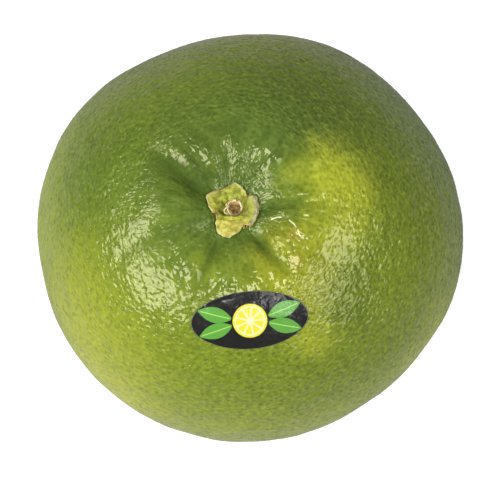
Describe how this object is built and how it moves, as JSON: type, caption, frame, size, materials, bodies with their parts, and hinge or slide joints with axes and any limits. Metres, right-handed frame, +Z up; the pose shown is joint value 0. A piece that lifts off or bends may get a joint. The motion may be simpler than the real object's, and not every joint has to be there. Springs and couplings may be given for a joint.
{
  "type": "grapefruit",
  "caption": "Whole green grapefruit with a furrowed hollow at its stem end, a dried calyx, a cut stem stub and a small oval sticker, standing on its blossom end.",
  "frame": {"origin": "middle of the small flat spot on the blossom end, on which the fruit stands", "axes": "+Z up towards the stem end, X along the broadest width, -Y towards the side with the sticker"},
  "size_m": [0.112, 0.1076, 0.0932],
  "materials": {
    "rind": "waxy green and yellow-green citrus rind, finely pitted with oil glands",
    "calyx": "dull, wrinkled, half-dried green sepals with pale dry rims",
    "cut_stem": "matte dry stem, pale bark ring and brown pith",
    "sticker_film": "printed film, smooth and slightly glossy"
  },
  "bodies": {
    "root": {"fruit": "rind", "calyx": "calyx", "stem_stub": "cut_stem", "sticker": "sticker_film"}
  },
  "joints": []
}
